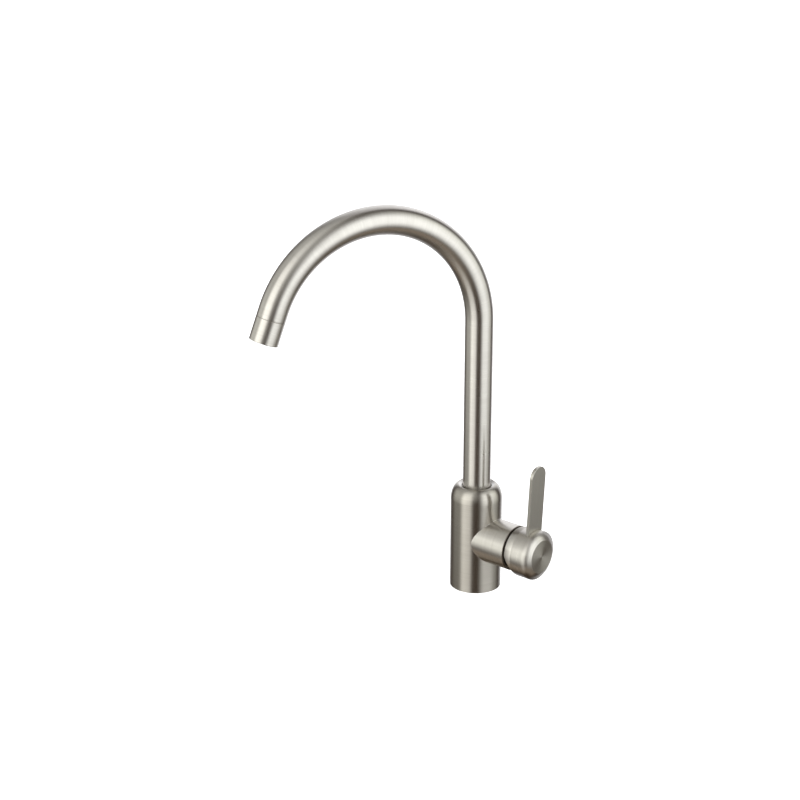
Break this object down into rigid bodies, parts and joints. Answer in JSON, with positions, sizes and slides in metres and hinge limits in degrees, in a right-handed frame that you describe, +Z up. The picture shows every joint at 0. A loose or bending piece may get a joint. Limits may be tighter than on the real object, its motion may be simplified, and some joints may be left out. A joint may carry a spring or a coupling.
{
  "type": "kitchen faucet",
  "caption": "Deck-mounted single-lever kitchen mixer with a swivelling goose-neck spout, a short side branch and an upright flat lever on a bevelled hub.",
  "frame": {"origin": "centre of the foot's underside, on the deck", "axes": "+Z up the column; +X along the branch towards the handle; the spout at rest points 111.2 degrees clockwise from +X, seen from above"},
  "size_m": [0.1606, 0.2246, 0.363],
  "materials": {
    "brushed_steel": "brushed",
    "handle_steel": "brushed",
    "dark_steel": "satin",
    "plain_steel": "satin",
    "brass": "machined",
    "copper": "drawn copper tube",
    "acetal": "moulded",
    "dark_plastic": "moulded",
    "ceramic": "lapped alumina ceramic",
    "rubber": "matt",
    "screw_plug": "moulded"
  },
  "bodies": {
    "faucet": {"faucet_body": "brushed_steel", "side_branch": "brushed_steel", "base_insert": "brass", "base_gasket": "rubber", "cold_inlet_tube": "copper", "hot_inlet_tube": "copper", "valve_seat": "brass", "riser_nipple": "brass", "spout_seat": "brass", "spout_set_screw": "dark_steel", "upper_glide_ring": "acetal", "lower_glide_ring": "acetal", "thrust_washer": "acetal", "cartridge_base": "acetal", "cartridge_seals": "rubber", "fixed_disc": "ceramic", "cartridge_housing": "acetal", "cartridge_nut": "brass", "dome_cover": "dark_steel"},
    "mixing_collar": {"turning_collar": "dark_plastic", "pivot_pin": "plain_steel"},
    "sliding_disc": {"moving_disc": "ceramic", "disc_carrier": "acetal"},
    "handle": {"stem": "plain_steel", "handle_hub": "handle_steel", "lever_blade": "handle_steel", "hub_set_screw": "dark_steel", "screw_plug": "screw_plug"},
    "spout": {"spout_tube": "brushed_steel", "spout_spigot": "brass", "spigot_seals": "rubber", "tip_insert": "brass", "aerator_sleeve": "brushed_steel", "aerator_housing": "acetal", "aerator_screens": "plain_steel", "aerator_gasket": "rubber"}
  },
  "joints": [
    {"name": "spout_swivel", "type": "hinge", "parent": "faucet", "child": "spout", "pos_m": [0, 0, 0], "axis": [0, 0, 1], "continuous": true},
    {"name": "temperature", "type": "hinge", "parent": "faucet", "child": "mixing_collar", "pos_m": [0.042, 0, 0.0483], "axis": [1, 0, 0], "range_deg": [-45, 45]},
    {"name": "flow", "type": "hinge", "parent": "mixing_collar", "child": "handle", "pos_m": [0.042, 0, 0.0483], "axis": [0, 1, 0], "range_deg": [0, 25]},
    {"name": "disc_slide", "type": "slide", "parent": "mixing_collar", "child": "sliding_disc", "axis": [0, 0, 1], "range_m": [0, 0.00393]}
  ],
  "couplings": [
    {"joint": "disc_slide", "follows": "flow", "m_per_rad": 0.009}
  ]
}
